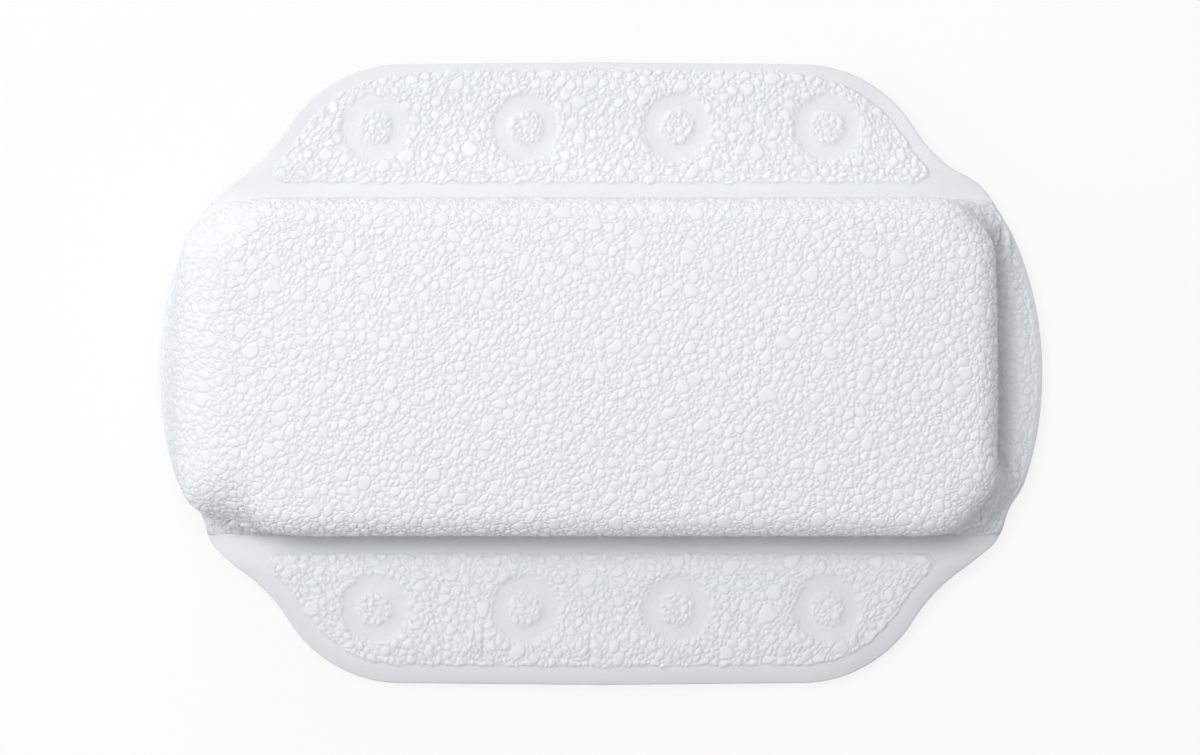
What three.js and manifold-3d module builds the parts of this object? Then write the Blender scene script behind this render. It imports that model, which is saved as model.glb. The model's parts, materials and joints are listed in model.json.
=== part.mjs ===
// Bath pillow of white embossed vinyl foam: a thick foam pad under a draped front cover, two thin flaps that
// fold along welded bands, and a row of suction cups welded behind each flap.
// Millimetres, +Z up. The pillow lies on its suction cups, pad up. +Y points to the upper flap.
// Origin: centre of the cut sheet's outline, in the plane of the suction cups' rims.
import * as THREE from "three";
import { mergeVertices } from "three/addons/utils/BufferGeometryUtils.js";
import Module from "manifold-3d";

const wasm = await Module();
wasm.setup();

// Sheet thicknesses: loose, and pressed by a weld
const BACK_SHEET = 0.6;
const FRONT_SHEET = 2.4;
const WELDED_FRONT = 0.5;

// Pad: foam block in a draped cover, set a little above and to the left of the middle of the cut sheets.
// Its left end leans out to the border. Its right end stands upright over a skirt of slack cover.
const PAD_OFFSET = 2.1;
const PAD_SHIFT = 3.4;
const PAD_LENGTH = 302.4;
const PAD_WIDTH = 126;
const PAD_HEIGHT = 42;
const PAD_CROWN = 3.2;
const PAD_EDGE_RADIUS = 10;
const PAD_CORNER_RADIUS = 18;
const WALL_DRAW_IN = 1.2;
const WALL_BOW = 1.8;
const FOOT_BOW = 16;
const LEFT_LEAN = 7.7;
const LEFT_BORDER = 2.7;
const RIGHT_BORDER = 4.6;
const SKIRT_PUFF = 0.8;
const SKIRT_CREST = 5.5;
const VALLEY_WIDTH = 2;
const FOAM_CLEARANCE = 0.3;

// Welded bands beside the pad, which the flaps fold along, and the clearance of the sheets when folded square
const BAND_WIDTH = 6;
const FOLD_CLEARANCE = 0.15;

// Flaps: depth from the fold to the outer edge, taken at the middle of the two, and the welded borders
const FLAP_DEPTH = 50.5;
const FLAP_SIDE_MARGIN = 2.4;
const FLAP_EDGE_BOW = 1;
const UPPER_BORDER = 4.2;
const LOWER_BORDER = 6.7;
const LOOSE_EDGE_RADIUS = 0.9;
const LOOSE_CORNER_RADIUS = 5;

// Outline of the cut sheets between a flap and an end: how far its corners lie from the flap's corner, from
// the fold line and from the sheet's end, and the radii that round them
const FLAP_CORNER_RADIUS = 49;
const WAIST_FLARE = 22;
const WAIST_FROM_FOLD = 15;
const WAIST_RADIUS = 64;
const SHOULDER_FROM_END = 14;
const SHOULDER_FROM_FOLD = 4;
const SHOULDER_RADIUS = 60;
const END_HEIGHT = 44;
const END_RADIUS = 124;

// Suction cups, and the ring weld that shows on the front of the flap above each one
const CUPS_PER_ROW = 4;
const CUP_SPACING = 56.4;
const CUP_ROW_FROM_FOLD = 24;
const CUP_RIM_RADIUS = 15;
const CUP_RIM_LAND = 1.1;
const CUP_RIM_THICKNESS = 0.6;
const CUP_HOLLOW_DEPTH = 4.6;
const CUP_WALL = 1.4;
const CUP_NECK_RADIUS = 6.5;
const CUP_NECK_LENGTH = 2.5;
const CUP_FLANGE_RADIUS = 13;
const CUP_FLANGE_THICKNESS = 1.3;
const CUP_SEAT_GAP = 0.2;
const RING_WELD_WIDTH = 6.6;

// Steps of the curved surfaces
const FILLET_STEPS = 5;
const SHORTEST_SIDE = 0.2;
const FOLD_EDGE_STEPS = 8;
const PAD_CORNER_STEPS = 5;
const PAD_SIDE_STEPS = 4;
const PAD_END_STEPS = 6;
const SKIRT_STEPS = 3;
const WALL_STEPS = 5;
const EDGE_STEPS = 4;
const CROWN_STEPS = 3;
const LOOSE_EDGE_STEPS = 2;
const HOLLOW_STEPS = 5;
const CUP_SEGMENTS = 20;
const RING_SEGMENTS = 28;

// What follows from the sizes above
const CUP_HEIGHT = CUP_HOLLOW_DEPTH + CUP_WALL + CUP_NECK_LENGTH + CUP_FLANGE_THICKNESS + CUP_SEAT_GAP;
const CUP_ROW_LENGTH = (CUPS_PER_ROW - 1) * CUP_SPACING;
const WELD_PLANE = CUP_HEIGHT + BACK_SHEET;
const WELD_STACK = BACK_SHEET + WELDED_FRONT;
const SKIRT_HEIGHT = FRONT_SHEET + SKIRT_PUFF;
const FOLD_GAP = WELD_STACK * (Math.SQRT2 - 1) + FOLD_CLEARANCE;
const FOLD_FROM_PAD_CENTRE = (PAD_WIDTH + BAND_WIDTH) / 2;
const SHEET_WIDTH = PAD_LENGTH + 2 * (PAD_SHIFT + LEFT_LEAN + LEFT_BORDER);
const RIGHT_SKIRT = SHEET_WIDTH / 2 - RIGHT_BORDER - (PAD_LENGTH / 2 - PAD_SHIFT);
const SHEET_HEIGHT = 2 * (FOLD_FROM_PAD_CENTRE + FLAP_DEPTH);
const FLAP_EDGE_WIDTH = CUP_ROW_LENGTH + 2 * (CUP_RIM_RADIUS + FLAP_SIDE_MARGIN);
const TRIM_REACH = SHEET_WIDTH + SHEET_HEIGHT + PAD_HEIGHT;

const EMBOSSED_VINYL = { color: 0xf1f3f3, roughness: 0.5, metalness: 0 };
const BACK_VINYL = { color: 0xe9ecee, roughness: 0.4, metalness: 0 };
const PADDING_FOAM = { color: 0xf3efdf, roughness: 0.95, metalness: 0 };
const CUP_VINYL = { color: 0xdfe7ea, roughness: 0.2, metalness: 0 };

// A closed geometry as a manifold solid, and back
function solidOf(geometry) {
  const bare = geometry.clone();
  bare.deleteAttribute("normal");
  bare.deleteAttribute("uv");
  const merged = mergeVertices(bare);
  const triVerts = new Uint32Array(merged.index.array);
  const vertProperties = merged.attributes.position.array;
  return new wasm.Manifold(new wasm.Mesh({ numProp: 3, vertProperties, triVerts }));
}

function geometryOf(solid) {
  const { vertProperties, triVerts } = solid.getMesh();
  const geometry = new THREE.BufferGeometry();
  geometry.setAttribute("position", new THREE.BufferAttribute(vertProperties, 3));
  geometry.setIndex(new THREE.BufferAttribute(triVerts, 1));
  geometry.computeVertexNormals();
  return geometry;
}

// A flat plate of an outline's points between two heights
function plate(points, bottom, top) {
  const extrusion = { depth: top - bottom, bevelEnabled: false };
  return new THREE.ExtrudeGeometry(new THREE.Shape(points), extrusion).translate(0, 0, bottom);
}

// Corner points with their radii, as a closed run of points with each corner rounded by an arc.
// Where two arcs need more than the side between them, both shrink to fit it.
function roundedOutline(corners) {
  const count = corners.length;
  const at = (index) => corners[(index + count) % count];
  const turns = corners.map((corner, index) => {
    const before = at(index - 1).point.clone().sub(corner.point).normalize();
    const after = at(index + 1).point.clone().sub(corner.point).normalize();
    const halfAngle = before.angleTo(after) / 2;
    return { before, after, halfAngle, reach: corner.radius / Math.tan(halfAngle) };
  });
  const shares = corners.map((corner, index) => {
    const length = corner.point.distanceTo(at(index + 1).point);
    const wanted = turns[index].reach + turns[(index + 1) % count].reach;
    return Math.min(1, length / wanted);
  });
  const points = corners.flatMap((corner, index) => {
    const { before, after, halfAngle, reach } = turns[index];
    const fitted = reach * Math.min(shares[index], shares[(index - 1 + count) % count]);
    if (fitted === 0) return [corner.point.clone()];
    const start = corner.point.clone().addScaledVector(before, fitted);
    const end = corner.point.clone().addScaledVector(after, fitted);
    const middle = before.clone().add(after).normalize();
    const radius = fitted * Math.tan(halfAngle);
    const centre = corner.point.clone().addScaledVector(middle, radius / Math.sin(halfAngle));
    const startAngle = start.clone().sub(centre).angle();
    const turn = end.clone().sub(centre).angle() - startAngle;
    const sweep = THREE.MathUtils.euclideanModulo(turn + Math.PI, 2 * Math.PI) - Math.PI;
    return Array.from({ length: FILLET_STEPS + 1 }, (_, step) => {
      const angle = startAngle + (sweep * step) / FILLET_STEPS;
      return new THREE.Vector2(Math.cos(angle), Math.sin(angle)).multiplyScalar(radius).add(centre);
    });
  });
  const stepFrom = (index) => points[index].distanceTo(points[(index + 1) % points.length]);
  return points.filter((_, index) => stepFrom(index) > SHORTEST_SIDE);
}

// The cut sheet's outline, anticlockwise from its right end: one quarter, mirrored about both centre lines
function sheetOutline() {
  const corner = (x, y, radius) => ({ point: new THREE.Vector2(x, y), radius });
  const quarter = [
    corner(SHEET_WIDTH / 2, END_HEIGHT / 2, END_RADIUS),
    corner(SHEET_WIDTH / 2 - SHOULDER_FROM_END, FOLD_FROM_PAD_CENTRE - SHOULDER_FROM_FOLD, SHOULDER_RADIUS),
    corner(FLAP_EDGE_WIDTH / 2 + WAIST_FLARE, FOLD_FROM_PAD_CENTRE + WAIST_FROM_FOLD, WAIST_RADIUS),
    corner(FLAP_EDGE_WIDTH / 2, SHEET_HEIGHT / 2 - FLAP_EDGE_BOW, FLAP_CORNER_RADIUS),
  ];
  const crest = corner(0, SHEET_HEIGHT / 2, 0);
  const mirrored = (corners, signX, signY) =>
    corners.map(({ point, radius }) => corner(signX * point.x, signY * point.y, radius));
  const backwards = [...quarter].reverse();
  return roundedOutline([
    ...quarter,
    crest,
    ...mirrored(backwards, -1, 1),
    ...mirrored(quarter, -1, -1),
    ...mirrored([crest], 1, -1),
    ...mirrored(backwards, 1, -1),
  ]);
}

// An anticlockwise outline moved inwards by a border's width
function insetOutline(points, border) {
  const count = points.length;
  return points.map((point, index) => {
    const along = points[(index + 1) % count].clone().sub(points[(index - 1 + count) % count]).normalize();
    return new THREE.Vector2(point.x - along.y * border, point.y + along.x * border);
  });
}

// Block that keeps what lies between two lines across the pillow. A side that ends at a fold line is rounded
// over the welded stack, so that the two sheets there can turn about the fold without touching.
function foldBlock(lowFold, highFold) {
  const radius = WELD_STACK / 2;
  const axisHeight = WELDED_FRONT - radius;
  const setBack = FOLD_GAP / 2 + radius;
  const low = lowFold === null ? -TRIM_REACH : lowFold + setBack;
  const high = highFold === null ? TRIM_REACH : highFold - setBack;
  const section = new THREE.Shape();
  section.moveTo(low, -TRIM_REACH);
  section.lineTo(high, -TRIM_REACH);
  if (highFold !== null) section.absarc(high, axisHeight, radius, -Math.PI / 2, Math.PI / 2, false);
  section.lineTo(high, TRIM_REACH);
  section.lineTo(low, TRIM_REACH);
  if (lowFold !== null) section.absarc(low, axisHeight, radius, Math.PI / 2, (3 * Math.PI) / 2, false);
  const extrusion = { depth: 2 * TRIM_REACH, bevelEnabled: false, curveSegments: FOLD_EDGE_STEPS };
  const block = new THREE.ExtrudeGeometry(section, extrusion);
  // The section is drawn in Y and Z and runs along X
  block.translate(0, 0, -TRIM_REACH);
  block.applyMatrix4(new THREE.Matrix4().makeBasis(
    new THREE.Vector3(0, 1, 0),
    new THREE.Vector3(0, 0, 1),
    new THREE.Vector3(1, 0, 0),
  ));
  return solidOf(block);
}

// One level of the pad: a rectangle with round corners, whose two ends reach out and bow back to the corners
function padRing({ inset, height, left, right }) {
  const halfLength = PAD_LENGTH / 2 - inset;
  const halfWidth = PAD_WIDTH / 2 - inset;
  const radius = Math.max(PAD_CORNER_RADIUS - inset, PAD_CORNER_RADIUS / 4);
  const quadrants = [[1, 1], [-1, 1], [-1, -1], [1, -1]];
  const points = quadrants.flatMap(([signX, signY], index) => {
    const centre = new THREE.Vector2(signX * (halfLength - radius), signY * (halfWidth - radius));
    const arc = Array.from({ length: PAD_CORNER_STEPS + 1 }, (_, step) => {
      const angle = (index + step / PAD_CORNER_STEPS) * (Math.PI / 2);
      return new THREE.Vector2(Math.cos(angle), Math.sin(angle)).multiplyScalar(radius).add(centre);
    });
    const steps = index % 2 === 0 ? PAD_SIDE_STEPS : PAD_END_STEPS;
    const [nextX, nextY] = quadrants[(index + 1) % quadrants.length];
    const sideStart = arc[PAD_CORNER_STEPS];
    const sideEnd = index % 2 === 0
      ? new THREE.Vector2(nextX * (halfLength - radius), sideStart.y)
      : new THREE.Vector2(sideStart.x, nextY * (halfWidth - radius));
    const between = (_, step) => sideStart.clone().lerp(sideEnd, (step + 1) / steps);
    return [...arc, ...Array.from({ length: steps - 1 }, between)];
  });
  return points.map(({ x, y }) => {
    const { reach, bow } = x < 0 ? left : right;
    const outwards = reach - bow * (y / halfWidth) ** 2;
    return new THREE.Vector3(x + Math.sign(x) * outwards - PAD_SHIFT, y + PAD_OFFSET, height);
  });
}

// Rings of equal length stacked from the bottom up, joined by side faces and closed flat at both ends
function loft(rings) {
  const count = rings[0].length;
  const points = rings.flat();
  const faces = [];
  rings.slice(1).forEach((_, level) => {
    for (let step = 0; step < count; step += 1) {
      const a = level * count + step;
      const b = level * count + ((step + 1) % count);
      faces.push(a, b, b + count, a, b + count, a + count);
    }
  });
  const flat = (ring) => {
    const contour = ring.map(({ x, y }) => new THREE.Vector2(x, y));
    return THREE.ShapeUtils.triangulateShape(contour, []);
  };
  const top = (rings.length - 1) * count;
  flat(rings[0]).forEach(([a, b, c]) => faces.push(a, c, b));
  flat(rings[rings.length - 1]).forEach(([a, b, c]) => faces.push(top + a, top + b, top + c));
  return new THREE.BufferGeometry().setFromPoints(points).setIndex(faces);
}

// The pad's form, moved in from its outside by `shrink`: walls that draw in at the foot, a left end that leans
// out to the border, a round edge and a slight crown
function padForm({ shrink, floor }) {
  const wallTop = PAD_HEIGHT - PAD_CROWN - PAD_EDGE_RADIUS - shrink;
  const edgeTop = wallTop + PAD_EDGE_RADIUS;
  const middle = PAD_WIDTH / 2 - shrink;
  const levels = [];
  for (let step = 0; step <= WALL_STEPS; step += 1) {
    const share = step / WALL_STEPS;
    const drawIn = WALL_DRAW_IN * (1 - Math.sin((share * Math.PI) / 2));
    const footBow = (FOOT_BOW - WALL_BOW) * (1 - share) ** 3;
    levels.push({
      inset: drawIn + shrink,
      height: floor + (wallTop - floor) * share,
      left: { reach: LEFT_LEAN * (1 - share) + drawIn, bow: WALL_BOW + footBow },
      right: { reach: 0, bow: WALL_BOW },
    });
  }
  for (let step = 1; step <= EDGE_STEPS; step += 1) {
    const turn = (step / EDGE_STEPS) * (Math.PI / 2);
    const end = { reach: 0, bow: WALL_BOW * Math.cos(turn) };
    levels.push({
      inset: PAD_EDGE_RADIUS * (1 - Math.cos(turn)) + shrink,
      height: wallTop + PAD_EDGE_RADIUS * Math.sin(turn),
      left: end,
      right: end,
    });
  }
  for (let step = 1; step <= CROWN_STEPS; step += 1) {
    const share = step / (CROWN_STEPS + 1);
    const end = { reach: 0, bow: 0 };
    levels.push({
      inset: PAD_EDGE_RADIUS + (middle - PAD_EDGE_RADIUS) * share + shrink,
      height: edgeTop + PAD_CROWN * (1 - (1 - step / CROWN_STEPS) ** 2),
      left: end,
      right: end,
    });
  }
  return loft(levels.map(padRing));
}

// The slack cover past the right wall: it rises from the border to a round crest and dips to a valley at the
// wall. On its other sides it stays inside the pad.
function skirtForm() {
  const inset = WALL_DRAW_IN + FRONT_SHEET / 2;
  const left = { reach: 0, bow: FOOT_BOW };
  const level = (reach, height) => {
    const bow = WALL_BOW + ((FOOT_BOW - WALL_BOW) * reach) / RIGHT_SKIRT;
    return { inset, height, left, right: { reach: reach + inset, bow } };
  };
  const levels = [level(RIGHT_SKIRT, 0)];
  for (let step = 1; step <= SKIRT_STEPS; step += 1) {
    const turn = (step / SKIRT_STEPS) * (Math.PI / 2);
    levels.push(level(RIGHT_SKIRT - SKIRT_CREST * (1 - Math.cos(turn)), SKIRT_HEIGHT * Math.sin(turn)));
  }
  levels.push(level(VALLEY_WIDTH, SKIRT_HEIGHT / 2));
  return loft(levels.map(padRing));
}

// Suction cup, rim down at height 0: a concave skirt, a neck, and the flange that is welded to the flap
function cupGeometry() {
  const hollowRadius = CUP_RIM_RADIUS - CUP_RIM_LAND;
  const roof = CUP_HOLLOW_DEPTH + CUP_WALL;
  const flangeBottom = roof + CUP_NECK_LENGTH;
  const flangeTop = flangeBottom + CUP_FLANGE_THICKNESS;
  const hollowAt = (radius) => CUP_HOLLOW_DEPTH * (1 - (radius / hollowRadius) ** 2);
  const skirtMiddle = (CUP_RIM_RADIUS + CUP_NECK_RADIUS) / 2;
  const profile = [];
  for (let step = 0; step <= HOLLOW_STEPS; step += 1) {
    const radius = (hollowRadius * step) / HOLLOW_STEPS;
    profile.push([radius, hollowAt(radius)]);
  }
  profile.push([CUP_RIM_RADIUS, 0]);
  profile.push([CUP_RIM_RADIUS, CUP_RIM_THICKNESS]);
  profile.push([skirtMiddle, hollowAt(skirtMiddle) + CUP_WALL]);
  profile.push([CUP_NECK_RADIUS, roof]);
  profile.push([CUP_NECK_RADIUS, flangeBottom]);
  profile.push([CUP_FLANGE_RADIUS, flangeBottom]);
  profile.push([CUP_FLANGE_RADIUS, flangeTop]);
  profile.push([0, flangeTop]);
  const points = profile.map(([radius, height]) => new THREE.Vector2(radius, height));
  return new THREE.LatheGeometry(points, CUP_SEGMENTS).rotateX(Math.PI / 2);
}

// Groove that a ring weld presses round a cup's place: down to the welded thickness, open at the top
function ringWeldCutter(x, y) {
  const outer = CUP_FLANGE_RADIUS;
  const inner = outer - RING_WELD_WIDTH;
  const top = 2 * FRONT_SHEET;
  const profile = [
    new THREE.Vector2(inner, WELDED_FRONT),
    new THREE.Vector2(outer, WELDED_FRONT),
    new THREE.Vector2(outer, top),
    new THREE.Vector2(inner, top),
    new THREE.Vector2(inner, WELDED_FRONT),
  ];
  return solidOf(new THREE.LatheGeometry(profile, RING_SEGMENTS).rotateX(Math.PI / 2).translate(x, y, 0));
}

const outline = sheetOutline();
const frontWeld = solidOf(plate(outline, 0, WELDED_FRONT));
const backFilm = solidOf(plate(outline, -BACK_SHEET, 0));
const upperFold = PAD_OFFSET + FOLD_FROM_PAD_CENTRE;
const lowerFold = PAD_OFFSET - FOLD_FROM_PAD_CENTRE;
const padBlock = foldBlock(lowerFold, upperFold);

// Where the cups of one row sit along the pillow
const cupPlace = (_, index) => index * CUP_SPACING - CUP_ROW_LENGTH / 2;
const cupPlaces = Array.from({ length: CUPS_PER_ROW }, cupPlace);

// The front sheet of a flap: thin at the welded border, band and rings, and full thickness between them
function flapFront({ side, fold, border, block, cupRow }) {
  const bandEdge = fold + (side * BAND_WIDTH) / 2;
  const inside = insetOutline(outline, border);
  const loose = inside.filter((point) => side * (point.y - bandEdge) > LOOSE_CORNER_RADIUS);
  // The two points where the inner line crosses the edge of the band close the loose area
  const crossings = inside.flatMap((point, index) => {
    const next = inside[(index + 1) % inside.length];
    const share = (bandEdge - point.y) / (next.y - point.y);
    return share > 0 && share <= 1 ? [point.clone().lerp(next, share)] : [];
  });
  const [right, left] = crossings.sort((a, b) => b.x - a.x);
  const [first, last] = side > 0 ? [right, left] : [left, right];
  const area = roundedOutline([
    { point: first, radius: LOOSE_CORNER_RADIUS },
    ...loose.map((point) => ({ point, radius: 0 })),
    { point: last, radius: LOOSE_CORNER_RADIUS },
  ]);
  const levels = [{ inset: 0, height: 0 }];
  for (let step = 0; step <= LOOSE_EDGE_STEPS; step += 1) {
    const turn = (step / LOOSE_EDGE_STEPS) * (Math.PI / 2);
    levels.push({
      inset: LOOSE_EDGE_RADIUS * (1 - Math.cos(turn)),
      height: FRONT_SHEET - LOOSE_EDGE_RADIUS * (1 - Math.sin(turn)),
    });
  }
  const rings = levels.map(({ inset, height }) =>
    insetOutline(area, inset).map(({ x, y }) => new THREE.Vector3(x, y, height)));
  const raised = solidOf(loft(rings));
  const sheet = cupPlaces.reduce(
    (solid, x) => solid.subtract(ringWeldCutter(x, cupRow)),
    raised.add(frontWeld.intersect(block)),
  );
  return geometryOf(sheet);
}

const pillow = new THREE.Group();
const sheets = new THREE.Group();
sheets.position.z = WELD_PLANE;
pillow.add(sheets);

function addMesh(parent, name, geometry, finish) {
  const mesh = new THREE.Mesh(geometry, new THREE.MeshStandardMaterial(finish));
  mesh.name = name;
  parent.add(mesh);
  return mesh;
}

// Pad: front cover open at the back, foam block inside it, and the back sheet behind both
const padOutside = solidOf(padForm({ shrink: 0, floor: 0 })).add(solidOf(skirtForm()));
const padCavity = solidOf(padForm({ shrink: FRONT_SHEET, floor: -WELDED_FRONT }));
const padCover = padOutside.add(frontWeld.intersect(padBlock)).subtract(padCavity);
addMesh(sheets, "pad_front_cover", geometryOf(padCover), EMBOSSED_VINYL);
const foamForm = { shrink: FRONT_SHEET + FOAM_CLEARANCE, floor: FOAM_CLEARANCE };
addMesh(sheets, "foam_core", padForm(foamForm), PADDING_FOAM);
addMesh(sheets, "pad_back_sheet", geometryOf(backFilm.intersect(padBlock)), BACK_VINYL);

// Flaps: front and back sheet, and a row of cups behind
function addFlap(name, side, fold, border, block) {
  const cupRow = fold + side * CUP_ROW_FROM_FOLD;
  const front = flapFront({ side, fold, border, block, cupRow });
  addMesh(sheets, `${name}_flap_front`, front, EMBOSSED_VINYL);
  addMesh(sheets, `${name}_flap_back`, geometryOf(backFilm.intersect(block)), BACK_VINYL);
  cupPlaces.forEach((x, index) => {
    const cup = addMesh(pillow, `${name}_suction_cup_${index + 1}`, cupGeometry(), CUP_VINYL);
    cup.position.set(x, cupRow, 0);
  });
}

addFlap("upper", 1, upperFold, UPPER_BORDER, foldBlock(upperFold, null));
addFlap("lower", -1, lowerFold, LOWER_BORDER, foldBlock(null, lowerFold));

export default pillow;
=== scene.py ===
# Bath pillow of white embossed vinyl: a foam pad in a draped cover, two thin flaps that fold along welded
# bands, and a row of suction cups behind each flap. Metres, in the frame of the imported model.
import json
import math

import bpy
import numpy as np
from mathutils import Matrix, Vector, kdtree


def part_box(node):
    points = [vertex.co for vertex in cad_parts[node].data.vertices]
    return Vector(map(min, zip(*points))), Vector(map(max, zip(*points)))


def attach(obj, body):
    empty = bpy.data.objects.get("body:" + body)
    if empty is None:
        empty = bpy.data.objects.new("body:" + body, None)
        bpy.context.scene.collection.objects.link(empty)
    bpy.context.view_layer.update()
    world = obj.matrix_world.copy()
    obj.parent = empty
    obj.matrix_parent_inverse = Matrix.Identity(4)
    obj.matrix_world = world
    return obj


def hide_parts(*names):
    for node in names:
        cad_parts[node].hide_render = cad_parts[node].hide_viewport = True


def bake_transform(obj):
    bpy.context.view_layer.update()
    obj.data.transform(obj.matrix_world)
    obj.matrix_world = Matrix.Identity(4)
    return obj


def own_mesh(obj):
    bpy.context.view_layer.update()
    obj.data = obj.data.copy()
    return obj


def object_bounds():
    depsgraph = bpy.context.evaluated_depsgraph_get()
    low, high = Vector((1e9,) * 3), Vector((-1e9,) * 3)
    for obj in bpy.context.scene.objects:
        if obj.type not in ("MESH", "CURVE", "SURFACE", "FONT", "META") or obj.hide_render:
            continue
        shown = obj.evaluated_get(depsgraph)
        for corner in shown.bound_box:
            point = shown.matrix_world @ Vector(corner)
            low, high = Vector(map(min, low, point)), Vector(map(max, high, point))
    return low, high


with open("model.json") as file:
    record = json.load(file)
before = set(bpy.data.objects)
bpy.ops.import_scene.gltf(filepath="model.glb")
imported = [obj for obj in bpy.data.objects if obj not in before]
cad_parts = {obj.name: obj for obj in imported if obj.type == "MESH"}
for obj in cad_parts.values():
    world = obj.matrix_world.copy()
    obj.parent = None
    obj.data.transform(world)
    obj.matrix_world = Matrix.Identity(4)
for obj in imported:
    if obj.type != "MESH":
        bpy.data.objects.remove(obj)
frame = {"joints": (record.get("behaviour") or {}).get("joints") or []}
cad_low, cad_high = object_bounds()

MM = 0.001

# Places that follow from the frame
joints = {joint["name"]: joint for joint in frame["joints"]}
UPPER_FOLD = joints["upper_flap_fold"]["pos_m"][1]
LOWER_FOLD = joints["lower_flap_fold"]["pos_m"][1]
PAD_MIDDLE = (UPPER_FOLD + LOWER_FOLD) / 2
BACK_FACE, WELD_PLANE = (float(corner[2]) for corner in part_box("upper_flap_back"))
SHEET_END = float(cad_high[0])
SHEET_EDGE = float(cad_high[1])
FLAP_EDGE = 102 * MM

# Outline of the cut sheets: one quarter's corners with the radii that round them
OUTLINE_CORNERS = (
    (SHEET_END, 22 * MM, 124 * MM),
    (SHEET_END - 14 * MM, 62 * MM, 60 * MM),
    (FLAP_EDGE + 22 * MM, 81 * MM, 64 * MM),
    (FLAP_EDGE, SHEET_EDGE - 1 * MM, 49 * MM),
)
OUTLINE_STEP = 0.25 * MM
ARC_STEPS = 24

# Where the soft edge lies off that outline, as middle, radius and shift
OUTLINE_DENTS = (
    ((-152 * MM, -53 * MM), 8 * MM, (3.8 * MM, 0.8 * MM)),
    ((153 * MM, -50 * MM), 6 * MM, (-2.0 * MM, 0.4 * MM)),
    ((145 * MM, -62 * MM), 6 * MM, (0.8 * MM, -0.6 * MM)),
    ((141 * MM, 70 * MM), 11 * MM, (1.2 * MM, 1.5 * MM)),
)

# Sheets: loose and welded thickness of the embossed front, borders, and the band along each fold
FRONT_SHEET = 2.4 * MM
FLAP_SHEET = 1.8 * MM
WELDED_FRONT = 0.5 * MM
UPPER_BORDER = 4.8 * MM
UPPER_BORDER_MIDDLE = 2.2 * MM
UPPER_BORDER_START = 55 * MM
UPPER_BORDER_END = 98 * MM
LOWER_BORDER = 6.5 * MM
PAD_BORDER = 4.4 * MM
WELD_ROUNDING = 9 * MM
WELD_STEP_WIDTH = 1.4 * MM
WELD_STEP_SHARE = 0.08
WELD_WANDER = 0.45 * MM
BAND_OUTER = 69 * MM
FLAP_START = 61.5 * MM
BACK_SPLIT = 62.4 * MM

# How far the flaps' borders roll down, and how their loose sheet waves and their pebbled area ends
UPPER_DROOP = 0.3 * MM
LOWER_DROOP = 1.6 * MM
DROOP_MARGIN = 1 * MM
CUT_EDGE = 0.5 * MM
CUT_EDGE_DROP = 0.6
FLAP_WAVE = 0.22 * MM
FLAP_WAVE_LENGTHS = (19, 26, 33, 44, 57)
WANDER_LENGTHS = (4, 5.5, 7.5)
FLAP_EMBOSS = (0.1 * MM, 0.9 * MM)
FLAP_AREA = 0.0125

# Ends of the flaps, which rise beside the pad's corners
SHOULDER_LIFT = 2.0 * MM
SHOULDER_START = 100 * MM
SHOULDER_END = 126 * MM
SHOULDER_FADE = 6 * MM

# Cells of the sheets' meshes, and how many of them one cell of the face behind takes
FLAP_COLUMNS = 690
FLAP_ROWS = 135
FILM_COLUMNS = 300
FILM_ROWS = 60
PAD_FILM_COLUMNS = 160
PAD_FILM_ROWS = 64
PAD_FILM_STEPS = 200
FLAP_COARSER = 5
FILM_COARSER = 2

# Films behind: slack, the step at a weld and the bead round each cup's flange
FILM_BULGE = 1.6 * MM
FILM_WAVE = 0.12 * MM
FILM_STEP = 0.15 * MM
FILM_BEAD = 0.25 * MM
FILM_BEAD_WIDTH = 0.9 * MM
FILM_BEAD_GAP = 1 * MM
FILM_EDGE = 0.6 * MM
FILM_SLACK = (2 * MM, 6 * MM)
FILM_WAVE_LENGTHS = (17, 23, 31)
PAD_FILM_RISE = 34 * MM
PAD_FILM_WAVE = 1.6
PAD_FILM_WAVE_RISE = (2 * MM, 20 * MM)
PAD_FILM_WAVE_LENGTHS = (29, 41, 67)

# Creases at the lower flap's edge, as place and depth, each beside a swelling
FLAP_CREASES = ((-44 * MM, -105 * MM, 1.0 * MM), (-4 * MM, -105 * MM, 0.7 * MM))
CREASE_SLANT = 0.06
CREASE_REACH = 7 * MM
CREASE_WIDTH = 0.7 * MM
SWELLING = 0.8
SWELLING_WIDTH = 5 * MM

# Ring welds on the flaps: sizes, and where their hollow and their smooth face start and end
RING_OUTER = 13 * MM
RING_INNER = 6.4 * MM
RING_DEPTH = 0.25 * MM
RING_PRESS = 0.93
HOLLOW_START = (RING_INNER - 1.5 * MM, RING_INNER + 2.2 * MM)
HOLLOW_END = (RING_OUTER - 4 * MM, RING_OUTER + 2 * MM)
RING_FACE_START = (RING_INNER - 1.4 * MM, RING_INNER + 1 * MM)
RING_FACE_END = (RING_OUTER - 1.8 * MM, RING_OUTER + 1.2 * MM)
BUTTON_PEBBLE = 1.4 * MM

# Suction cups
CUP_RIM = 15 * MM
CUP_LAND = 1.1 * MM
CUP_LIP = 0.6 * MM
CUP_HOLLOW = 4.6 * MM
CUP_WALL = 1.4 * MM
CUP_NECK = 6.5 * MM
CUP_WAIST = 0.5 * MM
CUP_FILLET = 0.6 * MM
CUP_FLANGE = 13 * MM
CUP_FLANGE_THICKNESS = 1.3 * MM
CUP_TOP = 9.8 * MM
CUP_SEGMENTS = 72

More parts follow.
